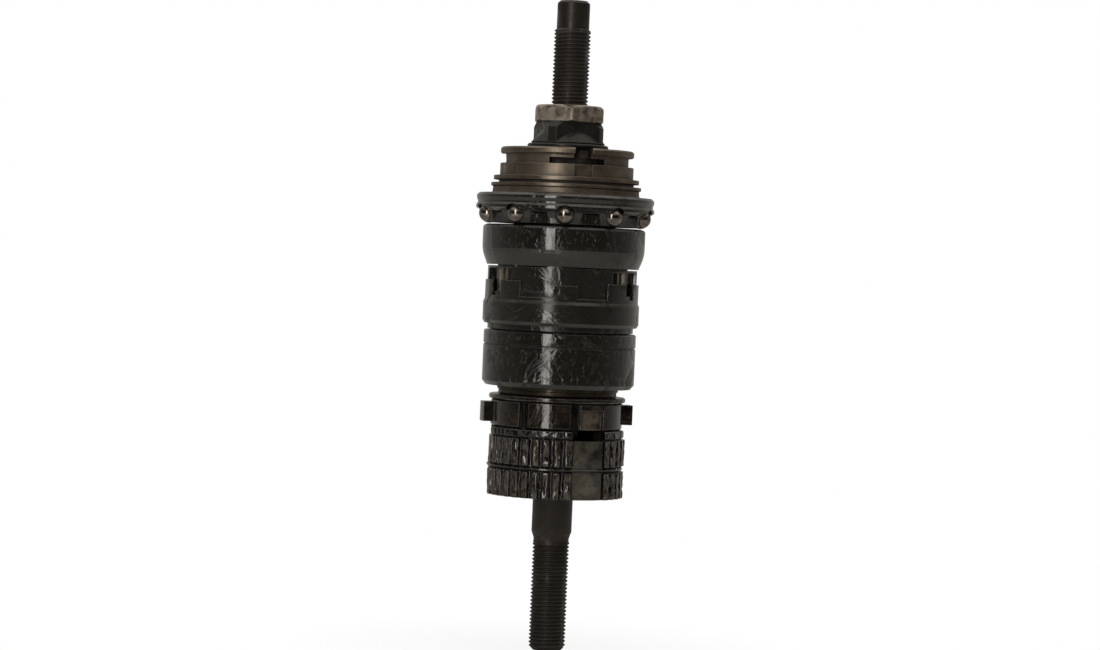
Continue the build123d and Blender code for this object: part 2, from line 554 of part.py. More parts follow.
lobe_rise = SHOE_LIFT / CAM_TURN
shoe_azimuths = [SHOE_AZIMUTH + 360 / SHOES * i for i in range(SHOES)]
lobe_points = []
for azimuth in shoe_azimuths:
    for step in range(-15, 36, 5):  # degrees along the rising part of the lobe
        lobe_points.append(polar(cam_contact_r - lobe_rise * step, azimuth - 90 + step))
    for step in (50, 65, 80, 95):
        lobe_points.append(polar(cam_contact_r - lobe_rise * 35, azimuth - 90 + step))
brake_cam = turned(
    (SHANK_R + RUN, z_cam), (CAM_RING_R - 0.3, z_cam), (CAM_RING_R, z_cam + 0.3), (CAM_RING_R, z_cam_top - 0.3),
    (CAM_RING_R - 0.3, z_cam_top), (SHANK_R + RUN, z_cam_top),
)
ear = block([(CAM_RING_R - 1, z_cam + 1), (ear_r, z_cam + 1 + EAR_HEIGHT)], 90, EAR_ARC)
brake_cam += around(ear, 2, EAR_AZIMUTH)
ring_slot = block([(CAM_RING_R - 1.8, z_cam - 1), (CAM_RING_R + 1, z_cam_top + 1)], 90, 8.9)
ring_window = block([(CAM_RING_R - 1.0, z_cam - 1), (CAM_RING_R + 1, z_cam + 5)], 90, 23)
brake_cam -= around(ring_slot, 2, 16.8)
brake_cam -= around(ring_slot, 2, -29.5)
brake_cam -= around(ring_window, 2, 33.5)
lobe_low = z_shoe + ANCHOR_PLATE + GAP
lobes = Pos(0, 0, lobe_low) * extrude(make_face(Polyline(*lobe_points, close=True)), z_cam + 0.5 - lobe_low)
brake_cam += lobes - rod(SHANK_R + RUN, lobe_low - 1, z_cam + 1)

# Brake shoes: two fluted rows, a spring groove between them and a collar


def fluted_face():
    """Section of one shoe through a fluted row, centred on +X."""
    half = SHOE_ARC / 2
    count = int((half - 3) / FLUTE_PITCH)
    points = [polar(SHOE_R, -half)]
    for i in range(-count, count + 1):
        middle = i * FLUTE_PITCH
        points.append(polar(SHOE_R, middle - FLUTE_PITCH * 0.26))
        points.append(polar(SHOE_R - FLUTE_DEPTH, middle - FLUTE_PITCH * 0.12))
        points.append(polar(SHOE_R - FLUTE_DEPTH, middle + FLUTE_PITCH * 0.12))
        points.append(polar(SHOE_R, middle + FLUTE_PITCH * 0.26))
    points.append(polar(SHOE_R, half))
    outer = Polyline(*points)
    inner = CenterArc((0, 0), SHOE_BORE_R, -half, SHOE_ARC)
    sides = Line(outer @ 1, inner @ 1) + Line(inner @ 0, outer @ 0)
    return make_face(outer + inner + sides)


shoe_row = extrude(fluted_face(), SHOE_ROW)
shoe = Pos(0, 0, z_shoe) * shoe_row + Pos(0, 0, z_row_2) * shoe_row
shoe += block([(SHOE_BORE_R, z_band), (shoe_band_r, z_row_2)], 90, SHOE_ARC)
shoe += sector([(SHOE_BORE_R, z_row_2 + SHOE_ROW), (shoe_band_r - 0.3, z_row_2 + SHOE_ROW),
                (shoe_band_r - 0.3, z_collar), (shoe_band_r, z_collar), (shoe_band_r, z_shoe_top - 0.3),
                (shoe_band_r - 0.3, z_shoe_top), (SHOE_BORE_R, z_shoe_top)], 90, SHOE_ARC)
groove_middle = z_band + SHOE_BAND / 2
groove_floor = spring_ring_r - SPRING_RING_WIRE_R - SHOE_LIFT - RUN
spring_groove = tube(groove_floor, SHOE_R + 1, groove_middle - 0.5, groove_middle + 0.5)
shoe -= spring_groove
shoe -= Pos(shoe_roller_r, 0, 0) * rod(ROLLER_R + RUN, z_shoe - 1, z_shoe_top - 0.8)
shoes = [facing(azimuth) * shoe for azimuth in shoe_azimuths]
roller = Pos(shoe_roller_r, 0, 0) * rod(ROLLER_R, lobe_low, z_shoe_top - 1)
rollers = [facing(azimuth) * roller for azimuth in shoe_azimuths]

wire_corners = [polar(SPRING_RING_WIRE_R, 22.5 + 45 * i) for i in range(8)]
shoe_spring = sector([(spring_ring_r + x, groove_middle + y) for x, y in wire_corners], 330, 357)

# Anchor: plate on the shank with three ribs that fill the gaps between the shoes

plate_edge = SHOE_BORE_R - GAP
shoe_anchor = tube(SHANK_R + RUN / 2, plate_edge, z_shoe, z_shoe + ANCHOR_PLATE)
rib_arc = 360 / SHOES - SHOE_ARC - RIB_CLEAR
for azimuth in shoe_azimuths:
    shoe_anchor += block([(plate_edge - 0.7, z_shoe), (anchor_r, z_row_2 + SHOE_ROW)], azimuth + 60, rib_arc)
shoe_anchor -= spring_groove

# Each piece goes to a file of its own

pieces = {
    "axle": axle,
    "lock_nut": lock_nut,
    "right_cone": right_cone,
    "cone_dust_disc": cone_dust_disc,
    "driver": driver,
    "driver_dust_washer": driver_dust_washer,
    "shell_ball_cage": shell_ball_cage,
    "shell_balls": shell_balls,
    "cone_ball_cage": cone_ball_cage,
    "cone_balls": cone_balls,
    "sliding_clutch": sliding_clutch,
    "clutch_sleeve": clutch_sleeve,
    "clutch_key": clutch_key,
    "clutch_spring": clutch_spring,
    "ring_gear": ring_gear,
    "planet_carrier": planet_carrier,
    "pinion_pins": pinion_pins,
    "planet_pinion_1": pinions[0],
    "planet_pinion_2": pinions[1],
    "planet_pinion_3": pinions[2],
    "castellated_ring": castellated_ring,
    "clutch_drum": clutch_drum,
    "clutch_roller_cage": clutch_roller_cage,
    "clutch_rollers": clutch_rollers,
    "thrust_washer": thrust_washer,
    "bronze_washer": bronze_washer,
    "cam_friction_ring": cam_friction_ring,
    "brake_cam": brake_cam,
    "brake_shoe_1": shoes[0],
    "brake_shoe_2": shoes[1],
    "brake_shoe_3": shoes[2],
    "brake_roller_1": rollers[0],
    "brake_roller_2": rollers[1],
    "brake_roller_3": rollers[2],
    "shoe_spring": shoe_spring,
    "shoe_anchor": shoe_anchor,
}

os.makedirs("parts", exist_ok=True)
for name, piece in pieces.items():
    export_step(piece, f"parts/{name}.step")
    print(f"{name:22s} {piece.volume:9.1f} mm3")
print(f"axle length {z_top:.2f} mm, lock nut top {z_nut_top:.2f}, ring gear {z_ring:.2f} to {z_ring_top:.2f}")
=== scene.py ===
# %% [markdown]
# # Inside of a coaster brake hub
# The unit stands upright on its brake end, as it comes out of the hub shell. From the top down
# there are the threaded axle, a lock nut, a cone, the driver that carries the sprocket, a ball
# ring, the planet gears in their housing, the roller clutch and the fluted brake shoes.
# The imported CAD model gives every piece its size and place. This lesson adds the real screw
# threads and balls, and gives each surface its steel, oil, grease and wear.

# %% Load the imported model
import json
import math

import bmesh
import bpy
from mathutils import Matrix, Vector

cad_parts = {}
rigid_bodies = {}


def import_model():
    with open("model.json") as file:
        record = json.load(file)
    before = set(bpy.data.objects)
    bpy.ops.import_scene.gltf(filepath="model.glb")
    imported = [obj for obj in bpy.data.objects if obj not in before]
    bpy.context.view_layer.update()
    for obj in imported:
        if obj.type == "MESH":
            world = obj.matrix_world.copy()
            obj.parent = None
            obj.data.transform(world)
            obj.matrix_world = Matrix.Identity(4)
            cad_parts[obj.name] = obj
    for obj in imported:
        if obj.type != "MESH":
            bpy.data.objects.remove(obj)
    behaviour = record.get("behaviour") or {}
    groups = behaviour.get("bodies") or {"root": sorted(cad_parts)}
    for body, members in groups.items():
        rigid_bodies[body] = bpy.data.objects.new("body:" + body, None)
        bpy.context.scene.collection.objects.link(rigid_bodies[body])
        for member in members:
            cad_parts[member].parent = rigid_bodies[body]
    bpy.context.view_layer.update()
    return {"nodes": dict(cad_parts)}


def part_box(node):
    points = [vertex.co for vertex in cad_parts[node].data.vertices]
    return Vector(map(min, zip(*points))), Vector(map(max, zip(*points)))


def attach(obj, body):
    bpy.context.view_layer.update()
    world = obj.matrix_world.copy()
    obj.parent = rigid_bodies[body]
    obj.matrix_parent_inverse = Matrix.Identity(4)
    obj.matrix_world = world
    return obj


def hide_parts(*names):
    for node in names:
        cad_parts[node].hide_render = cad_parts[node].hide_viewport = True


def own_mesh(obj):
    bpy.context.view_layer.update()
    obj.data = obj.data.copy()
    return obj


for thing in list(bpy.data.objects):
    bpy.data.objects.remove(thing, do_unlink=True)
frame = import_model()
nodes = frame["nodes"]
mm = 0.001

# %% [markdown]
# ## Short way to write node trees
# Both the finishes and the modelling recipes are node trees. Placing each node by hand takes many
# lines, so two small classes do it. `Wire` stands for one output and turns Python arithmetic into
# Math nodes. `Sheet` adds any other node from its type, its settings and its sockets.

# %% Wires and sheets
class Wire:
    """One output socket of a node, which can be added to, multiplied and so on."""

    def __init__(self, sheet, socket):
        self.sheet = sheet
        self.socket = socket

    def maths(self, operation, first, second=None, clamp=False):
        settings = {"operation": operation, "use_clamp": clamp}
        return self.sheet.node("ShaderNodeMath", settings, {0: first, 1: second})

    def __add__(self, other):
        return self.maths("ADD", self, other)

    def __radd__(self, other):
        return self.maths("ADD", other, self)

    def __sub__(self, other):
        return self.maths("SUBTRACT", self, other)

    def __rsub__(self, other):
        return self.maths("SUBTRACT", other, self)

    def __mul__(self, other):
        return self.maths("MULTIPLY", self, other)

    def __rmul__(self, other):
        return self.maths("MULTIPLY", other, self)

    def __truediv__(self, other):
        return self.maths("DIVIDE", self, other)

    def __rtruediv__(self, other):
        return self.maths("DIVIDE", other, self)

    def __pow__(self, other):
        return self.maths("POWER", self, other)

    def __abs__(self):
        return self.maths("ABSOLUTE", self)

    def least(self, other):
        return self.maths("MINIMUM", self, other)

    def most(self, other):
        return self.maths("MAXIMUM", self, other)

    def held(self):
        """The same value, kept between 0 and 1."""
        return self.maths("ADD", self, 0.0, clamp=True)

    def rise(self, low, high):
        """0 below low, 1 above high, and a straight ramp between them."""
        return ((self - low) / (high - low)).held()


class Sheet:
    """A node tree that is filled by calls of one method."""

    def __init__(self, tree):
        self.tree = tree
        tree.nodes.clear()

    def node(self, kind, settings=None, sockets=None, out=0):
        made = self.tree.nodes.new(kind)
        for name, value in (settings or {}).items():
            setattr(made, name, value)
        for name, value in (sockets or {}).items():
            if isinstance(value, Wire):
                self.tree.links.new(value.socket, made.inputs[name])
            elif value is not None:
                made.inputs[name].default_value = value
        if not made.outputs:
            return made
        return Wire(self, made.outputs[out])


print("node helpers ready")

# %% [markdown]
# ## Finishes
# Nearly every surface is dark steel under a film of oil or grease. The film is thin and clear and
# shows only by its gloss, which breaks up where the film is wrinkled. Under it the steel is
# blackened, tinted brown by heat, or ground bright. Edges that rub are worn to bright metal, and
# that bright edge colour also stands in for a painted highlight. Slots and corners are painted near
# black, which is partly grease dirt and partly painted shade, and bands at set depths carry more
# painted shade and a painted highlight.
# One recipe with a few amounts covers all of them, because they differ only in those amounts.

# %% Noise and edges
def colour(wire_or_rgb):
    return wire_or_rgb if isinstance(wire_or_rgb, Wire) else (*wire_or_rgb, 1.0)


class Finish(Sheet):
    """A material, with the few patterns that the finishes of this hub share."""

    def __init__(self, name):
        self.material = bpy.data.materials.new(name)
        self.material.use_nodes = True
        super().__init__(self.material.node_tree)
        self.place = self.node("ShaderNodeTexCoord", out=3)

    def stretched(self, scale, turn=(0.0, 0.0, 0.0)):
        """The place on the object, squeezed or stretched along each axis."""
        return self.node("ShaderNodeMapping", {"vector_type": "POINT"},
                         {"Vector": self.place, "Rotation": turn, "Scale": scale})

    def noise(self, size, detail=3.0, rough=0.5, warp=0.0, at=None):
        """Cloudy pattern of a given grain size in metres."""
        return self.node("ShaderNodeTexNoise", {}, {
            "Vector": at or self.place, "Scale": 1.0 / size, "Detail": detail,
            "Roughness": rough, "Distortion": warp})

    def blend(self, amount, first, second):
        """The first colour where the amount is 0, the second where it is 1."""
        return self.node("ShaderNodeMix", {"data_type": "RGBA"},
                         {0: amount, 6: colour(first), 7: colour(second)}, out=2)

    def rounded(self, radius):
        """Normal as if every edge had this radius."""
        return self.node("ShaderNodeBevel", {"samples": 4}, {"Radius": radius})

    def edge(self, round_normal):
        """1 on an edge and 0 away from it."""
        flat = self.node("ShaderNodeNewGeometry", out=1)
        same = self.node("ShaderNodeVectorMath", {"operation": "DOT_PRODUCT"},
                         {0: round_normal, 1: flat}, out=1)
        return (1.0 - same).rise(0.02, 0.22)

    def hollow_shade(self, reach):
        """Painted shade: 1 deep in a slot or corner, where ambient occlusion finds little light, 0 in
        the open.
        """
        seen = self.node("ShaderNodeAmbientOcclusion", {"samples": 6}, {"Distance": reach}, out=1)
        return 1.0 - seen.rise(0.25, 0.85)

    def under(self, skin, shallow, deep):
        """1 on walls between two depths under a round skin of this radius, 0 elsewhere."""
        flat = self.node("ShaderNodeVectorMath", {"operation": "MULTIPLY"},
                         {0: self.place, 1: (1.0, 1.0, 0.0)})
        depth = skin - self.node("ShaderNodeVectorMath", {"operation": "LENGTH"}, {0: flat}, out=1)
        soft = 0.05 * mm
        faces = self.node("ShaderNodeTexCoord", out=1)
        level = abs(self.node("ShaderNodeSeparateXYZ", {}, {0: faces}, out=2)).rise(0.4, 0.8)
        past_first = depth.rise(shallow - soft, shallow + soft)
        past_second = depth.rise(deep - soft, deep + soft)
        return past_first * (1.0 - past_second) * (1.0 - level)

    def bump(self, height, depth, under=None):
        sockets = {"Height": height, "Strength": 1.0, "Distance": depth}
        if under is not None:
            sockets["Normal"] = under
        return self.node("ShaderNodeBump", {}, sockets)

    def surface(self, **sockets):
        """Ends the recipe with one shader, its sockets named by words."""
        names = {key.replace("_", " ").title(): value for key, value in sockets.items()}
        for said, meant in (("Ior", "IOR"), ("Specular Ior Level", "Specular IOR Level")):
            if said in names:
                names[meant] = names.pop(said)
        shader = self.node("ShaderNodeBsdfPrincipled", {}, names)
        self.node("ShaderNodeOutputMaterial", {}, {"Surface": shader})
        return self.material


# %% The steel recipe
def steel(name, dark, light, metal, rough, shine=0.5, grease=0.5, grease_size=1.6 * mm,
          grease_depth=0.03 * mm, worn=(0.32, 0.29, 0.25), wear_and_glint=0.5, edge_radius=0.22 * mm,
          turned=0.0, flecks=0.5, grime_and_shade_reach=1.5 * mm, grain=6.0 * mm, lean=(0.0, 0.0, 0.0),
         pull=(1.0, 1.0, 0.45), skin=None, depth_tints_and_light=()):
    """Steel of two shades, with a grease film, waves and flecks in it, worn edges that also carry a
    painted highlight, and painted shade in slots and corners.
    """
    f = Finish(name)
    cloud = f.noise(grain, 4.0, 0.6, 0.4)
    fine = f.noise(0.5 * mm, 3.0, 0.6)
    film = f.noise(9.0 * mm, 3.0, 0.55, 0.8).rise(0.62 - 0.34 * grease, 0.74 - 0.34 * grease)
    wrinkle = f.noise(grease_size, 3.0, 0.55, 1.2, at=f.stretched(pull, lean))
    smear = f.noise(grease_size * 3.0, 2.0, 0.5, 0.6, at=f.stretched(pull, lean))
    specks = f.noise(grease_size * 0.45, 2.0, 0.5, 0.3, at=f.stretched(pull, lean)).rise(0.60, 0.67)
    soft = f.rounded(edge_radius)
    # Worn edges: real wear, and the bright worn colour also serves as a painted highlight along the
    # edges.
    rub_and_glint = (f.edge(soft) * wear_and_glint * f.noise(2.2 * mm, 4.0, 0.7).rise(0.34, 0.58)).held()
    # Painted shade: ambient occlusion darkens slots and corners, partly standing for grease dirt.
    grime_and_shade = f.hollow_shade(grime_and_shade_reach)
    tone = f.blend(cloud.rise(0.35, 0.7), dark, light)
    tone = f.blend(rub_and_glint, tone, worn)
    # Bands at set depths under the skin: painted shade in the driver groove recess and the cam slots, a
    # painted highlight on the shoe flute flanks, and the bronze tint of the cam window.
    for shallow, deep, shade in depth_tints_and_light:
        tone = f.blend(f.under(skin, shallow, deep) * cloud.rise(0.3, 0.5), tone, shade)
    # The near black here is painted shade in hollows, together with grease dirt.
    tone = f.blend(grime_and_shade * 0.85, tone, (0.004, 0.0038, 0.0035))
    height = (smear * 1.4 + wrinkle * 0.3 + specks * flecks * 0.25) * film + fine * 0.03
    if turned:
        rings = f.noise(0.35 * mm, 2.0, 0.6, at=f.stretched((0.02, 0.02, 1.0)))
        height = height + rings * turned
    # In hollows the painted shade also takes away metal, coat and gloss.
    return f.surface(
        base_color=tone,
        metallic=((metal + rub_and_glint * (1.0 - metal)) * (1.0 - grime_and_shade * 0.8)).held(),
        roughness=(rough + fine * 0.16 - 0.08 + rub_and_glint * 0.1 - film * 0.1 + grime_and_shade * 0.3).most(0.06),
        ior=1.5,
        specular_ior_level=shine,
        coat_weight=film * 0.9 * (1.0 - grime_and_shade),
        coat_roughness=0.04,
        normal=f.bump(height, grease_depth, soft),
    )


black_dark, black_light = (0.0120, 0.0118, 0.0100), (0.0170, 0.0165, 0.0140)
groove_floor = 15.87 * mm
lug_ring = 17.0 * mm
shoe_face = 18.05 * mm

finishes = {
    "axle": steel("axle steel", (0.019, 0.0165, 0.0125), (0.036, 0.031, 0.024), 0.35, 0.40,
                  grease=0.2, grease_depth=0.012 * mm, wear_and_glint=0.3, turned=0.25, grime_and_shade_reach=0.6 * mm),
    "black": steel("blackened steel", black_dark, black_light, 0.0, 0.20,
                   grease=0.85, grease_depth=0.30 * mm, grease_size=2.0 * mm, wear_and_glint=0.25, flecks=1.4,
                   lean=(0.0, 0.45, 0.3)),
    "ring": steel("blackened ring gear", black_dark, black_light, 0.0, 0.20,
                  grease=0.85, grease_depth=0.30 * mm, grease_size=1.8 * mm, wear_and_glint=0.2, flecks=1.4,
                  lean=(0.0, 0.5, 0.4), edge_radius=0.5 * mm),
    "satin": steel("blackened satin steel", (0.0160, 0.0156, 0.0136), (0.0220, 0.0214, 0.0184),
                   0.0, 0.19, grease=0.6, grease_depth=0.14 * mm, wear_and_glint=1.0, edge_radius=0.35 * mm),
    "cone": steel("black cone", (0.0125, 0.0125, 0.011), (0.024, 0.024, 0.021), 0.2, 0.33,
                  grease=0.15, grease_depth=0.015 * mm, wear_and_glint=0.8, worn=(0.22, 0.21, 0.19)),
    "nickel": steel("dull nickel", (0.22, 0.165, 0.12), (0.80, 0.71, 0.61), 0.9, 0.38,
                    grease=0.1, grease_depth=0.015 * mm, wear_and_glint=0.9, worn=(0.85, 0.80, 0.75),
                    grain=2.0 * mm),
    "driver": steel("heat tinted steel", (0.155, 0.125, 0.096), (0.260, 0.217, 0.170), 0.9, 0.38,
                    grease=0.1, grease_depth=0.012 * mm, wear_and_glint=0.8, worn=(0.50, 0.44, 0.37),
                    turned=0.5, grime_and_shade_reach=3.0 * mm, skin=groove_floor,
                    # The dark band under the groove floor is painted shade in the groove recess.
                    depth_tints_and_light=((0.35 * mm, 2.6 * mm, (0.009, 0.0078, 0.0066)),)),
    "bright": steel("ground steel", (0.26, 0.235, 0.19), (0.46, 0.42, 0.35), 0.95, 0.3,
                    grease=0.35, grease_depth=0.02 * mm, wear_and_glint=0.8, worn=(0.7, 0.66, 0.58)),
    "spring": steel("dark spring wire", (0.02, 0.018, 0.015), (0.05, 0.044, 0.036), 0.6, 0.3,
                    grease=0.9, grease_depth=0.05 * mm, wear_and_glint=0.3),
    "polished": steel("polished ball steel", (0.11, 0.092, 0.078), (0.44, 0.39, 0.34), 1.0, 0.16,
                      grease=0.5, grease_depth=0.04 * mm, wear_and_glint=0.0, grain=1.6 * mm, grime_and_shade_reach=1.0 * mm),
    "bronze": steel("worn bronze", (0.030, 0.022, 0.014), (0.105, 0.080, 0.052), 0.9, 0.34,
                    grease=0.4, grease_depth=0.02 * mm, wear_and_glint=0.7, worn=(0.34, 0.28, 0.20),
                    grain=3.0 * mm, turned=0.3),
    "cam": steel("brown cam steel", (0.010, 0.0082, 0.0066), (0.034, 0.025, 0.019), 0.3, 0.20,
                 grease=0.8, grease_depth=0.16 * mm, wear_and_glint=1.0, grain=3.0 * mm, edge_radius=0.4 * mm,
                 worn=(0.40, 0.36, 0.30), skin=lug_ring,
                 # A bronze tint in the window, then nearly black painted shade deeper in the slots.
                 depth_tints_and_light=((0.7 * mm, 1.3 * mm, (0.13, 0.105, 0.08)),
                         (1.4 * mm, 9.0 * mm, (0.0035, 0.003, 0.003)))),
    "shoe": steel("brown shoe iron", (0.0085, 0.0068, 0.0055), (0.026, 0.019, 0.014), 0.2, 0.16,
                  grease=0.95, grease_depth=0.10 * mm, grease_size=1.6 * mm, wear_and_glint=1.0,
                  worn=(0.34, 0.29, 0.23), grain=2.2 * mm, skin=shoe_face, pull=(1.0, 1.0, 0.3),
                  # The lighter band on the flute flanks is a painted highlight; the dark band deeper
                  # down is painted shade.
                  depth_tints_and_light=((0.12 * mm, 0.30 * mm, (0.075, 0.058, 0.043)),
                          (0.6 * mm, 2.0 * mm, (0.004, 0.0034, 0.003)))),
    "swirl": steel("greased anchor rib", (0.0070, 0.0068, 0.0058), (0.12, 0.108, 0.080), 0.3, 0.22,
                   grease=0.95, grease_depth=0.22 * mm, grease_size=2.4 * mm, wear_and_glint=0.3, grain=4.5 * mm,
                   pull=(1.0, 1.0, 0.8)),
}
print("finishes", len(finishes))

# %% Dress the CAD pieces
dress = {
    "axle": ["axle"],
    "nickel": ["lock_nut"],
    "cone": ["right_cone", "cone_dust_disc"],
    "driver": ["driver", "driver_dust_washer"],
    "black": ["shell_ball_cage", "clutch_drum"],
    "ring": ["ring_gear"],
    "satin": ["planet_carrier", "castellated_ring", "clutch_roller_cage"],
    "polished": ["shell_balls", "cone_balls", "clutch_rollers"],
    "bright": ["cone_ball_cage", "sliding_clutch", "clutch_sleeve", "clutch_key", "clutch_spring",
               "pinion_pins", "planet_pinion_1", "planet_pinion_2", "planet_pinion_3",
               "brake_roller_1", "brake_roller_2", "brake_roller_3"],
    "spring": ["shoe_spring"],
    "bronze": ["thrust_washer", "bronze_washer"],
    "cam": ["brake_cam", "cam_friction_ring"],
    "swirl": ["shoe_anchor"],
    "shoe": ["brake_shoe_1", "brake_shoe_2", "brake_shoe_3"],
}
for finish, names in dress.items():
    for name in names:
        for slot in nodes[name].material_slots:
            slot.material = finishes[finish]
undressed = set(nodes) - {name for names in dress.values() for name in names}
print("CAD nodes without a finish:", sorted(undressed))

# %% [markdown]
# ## Modelling recipes
# What repeats or follows a rule is made by Geometry Nodes: the balls stand evenly on a circle, and
# a screw thread is a wall whose radius depends only on angle and height. A recipe has named
# inputs, so one tree serves several pieces. Its result is turned into a plain mesh.

# %% Running a recipe
def recipe(name, inputs):
    """A new geometry tree with named inputs, as a sheet and a dictionary of wires."""
    tree = bpy.data.node_groups.new(name, "GeometryNodeTree")
    tree.interface.new_socket("Mesh", in_out="OUTPUT", socket_type="NodeSocketGeometry")
    for label, kind in inputs.items():
        tree.interface.new_socket(label, in_out="INPUT", socket_type="NodeSocket" + kind)
    sheet = Sheet(tree)
    entry = tree.nodes.new("NodeGroupInput")
    return sheet, {s.name: Wire(sheet, s) for s in entry.outputs if s.name}


def finish_recipe(sheet, mesh, material):
    """Realizes what was made, gives it a material and sends it out."""
    mesh = sheet.node("GeometryNodeRealizeInstances", {}, {"Geometry": mesh})
    mesh = sheet.node("GeometryNodeSetMaterial", {}, {"Geometry": mesh, "Material": material})
    sheet.node("NodeGroupOutput", {}, {0: mesh})
    return sheet.tree


def merged(source):
    """A copy of a CAD mesh with its loose triangles joined."""
    shape = bmesh.new()
    shape.from_mesh(source.data)
    bmesh.ops.remove_doubles(shape, verts=shape.verts, dist=1e-6)
    mesh = bpy.data.meshes.new(source.name + "_merged")
    shape.to_mesh(mesh)
    shape.free()
    return mesh


def made_by(tree, name, values, start=None, voxel=None):
    """A plain mesh object from a recipe and its inputs, and a mesh to start from."""
    holder = bpy.data.objects.new(name + "_recipe", start or bpy.data.meshes.new(name + "_start"))
    bpy.context.collection.objects.link(holder)
    if voxel:
        even = holder.modifiers.new("even skin", "REMESH")
        even.mode = "VOXEL"
        even.voxel_size = voxel
    modifier = holder.modifiers.new("recipe", "NODES")
    modifier.node_group = tree
    for item in tree.interface.items_tree:
        if item.in_out == "INPUT" and item.name in values:
            modifier[item.identifier] = values[item.name]
    graph = bpy.context.evaluated_depsgraph_get()
    mesh = bpy.data.meshes.new_from_object(holder.evaluated_get(graph))
    mesh.name = name
    holder.modifiers.clear()
    bpy.data.objects.remove(holder, do_unlink=True)
    piece = bpy.data.objects.new(name, mesh)
    bpy.context.collection.objects.link(piece)
    print(name, len(mesh.vertices), "vertices", len(mesh.polygons), "faces")
    return piece


# %% [markdown]
# ### Balls
# Ten balls of 3/16 inch carry the hub shell, and nine of 1/8 inch run on the cone. A circle with
# one point for each ball and a sphere on every point is all it takes. The spheres have many small
# faces, because polished steel shows every flat.

# %% Ball rings
sheet, size = recipe("ball ring", {"Count": "Int", "Circle": "Float", "Ball": "Float",
                                   "Height": "Float", "Turn": "Float"})
points = sheet.node("GeometryNodeMeshCircle", {}, {"Vertices": size["Count"], "Radius": size["Circle"]})
lift = sheet.node("ShaderNodeCombineXYZ", {}, {"Z": size["Height"]})
spin = sheet.node("ShaderNodeCombineXYZ", {}, {"Z": size["Turn"]})
points = sheet.node("GeometryNodeTransform", {}, {
    "Geometry": points, "Translation": lift, "Rotation": spin})
ball = sheet.node("GeometryNodeMeshUVSphere", {}, {"Segments": 40, "Rings": 20, "Radius": size["Ball"]})
ball = sheet.node("GeometryNodeSetShadeSmooth", {}, {"Geometry": ball})
balls = sheet.node("GeometryNodeInstanceOnPoints", {}, {"Points": points, "Instance": ball})
ball_ring = finish_recipe(sheet, balls, finishes["polished"])

shell_low, shell_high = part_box("shell_balls")
cone_low, cone_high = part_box("cone_balls")
shell_ball = (shell_high[2] - shell_low[2]) / 2
cone_ball = (cone_high[2] - cone_low[2]) / 2
front = -math.pi / 2
rolling = {
    "shell_balls": ("shell_ball_cage", 10, -shell_low[1] - shell_ball, shell_ball,
                    shell_low[2] + shell_ball),
    "cone_balls": ("cone_ball_cage", 9, -cone_low[1] - cone_ball, cone_ball,
                   cone_low[2] + cone_ball),
}
for node, (body, count, circle, radius, height) in rolling.items():
    ring = made_by(ball_ring, node + "_polished", {"Count": count, "Circle": circle, "Ball": radius,
                                                   "Height": height, "Turn": front})
    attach(ring, body)
    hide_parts(node)
    print(node, "circle", round(circle / mm, 3), "ball", round(radius / mm, 3), "mm")

# %% [markdown]
# ### Brake shoes
# The shoes are the roughest pieces: sintered iron with flutes that let the grease escape, under a
# thick coat of that grease. The CAD shoe has the flutes with crisp edges. A voxel remesh gives it
# an even skin of small faces. Geometry Nodes then deepen the flutes and push the outer side inwards
# by a noise, which rounds the flutes and leaves lumps as the real grease does. Nothing moves
# outwards, so that the shoe keeps its radius.

# %% Grease skin recipe
sheet, size = recipe("grease skin", {
    "Shape": "Geometry", "Radius": "Float", "Deeper": "Float", "Collar": "Float", "Depth": "Float",
    "Grain": "Float"})
spot = sheet.node("GeometryNodeInputPosition")
normal = sheet.node("GeometryNodeInputNormal")
level_spot = sheet.node("ShaderNodeVectorMath", {"operation": "MULTIPLY"},
                        {0: spot, 1: (1.0, 1.0, 0.0)})
outward = sheet.node("ShaderNodeVectorMath", {"operation": "NORMALIZE"}, {0: level_spot})
facing = sheet.node("ShaderNodeVectorMath", {"operation": "DOT_PRODUCT"}, {0: normal, 1: outward}, out=1)
far = sheet.node("ShaderNodeVectorMath", {"operation": "LENGTH"}, {0: level_spot}, out=1)
height = sheet.node("ShaderNodeSeparateXYZ", {}, {0: spot}, out=2)
sunk = (size["Radius"] - 0.05 * mm - far).most(0.0).least(0.5 * mm) * size["Deeper"]
sunk = sunk * (1.0 - (height - size["Collar"]).rise(-0.3 * mm, 0.0))
pulled = sheet.node("ShaderNodeVectorMath", {"operation": "MULTIPLY"}, {0: spot, 1: (1.0, 1.0, 0.4)})
lumps = sheet.node("ShaderNodeTexNoise", {}, {
    "Vector": pulled, "Scale": 1.0 / size["Grain"], "Detail": 1.5, "Roughness": 0.5, "Distortion": 1.0})
push = ((lumps - 0.66).least(0.0) * size["Depth"] - sunk) * facing.rise(0.0, 0.3)
offset = sheet.node("ShaderNodeVectorMath", {"operation": "SCALE"}, {0: outward, 3: push})
skin = sheet.node("GeometryNodeSetPosition", {}, {"Geometry": size["Shape"], "Offset": offset})
skin = sheet.node("GeometryNodeSetShadeSmooth", {}, {"Geometry": skin})
grease_skin = finish_recipe(sheet, skin, finishes["shoe"])

collar_low = 55.8 * mm
for number in (1, 2, 3):
    node = f"brake_shoe_{number}"
    shoe = made_by(grease_skin, node + "_greased", {
        "Radius": shoe_face, "Deeper": 0.6, "Collar": collar_low, "Depth": 1.1 * mm, "Grain": 2.2 * mm},
        start=merged(nodes[node]), voxel=0.18 * mm)
    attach(shoe, node)
    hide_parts(node)

# % [markdown]
# ### Clutch spring
# The spring presses the clutch down, so it gets shorter as the clutch slides up. Its upper end
# stands still under the cone. The CAD shape is right, and a copy with its triangles joined and
# smooth shading takes its place on the axle. Like a CAD piece, the copy keeps its length.

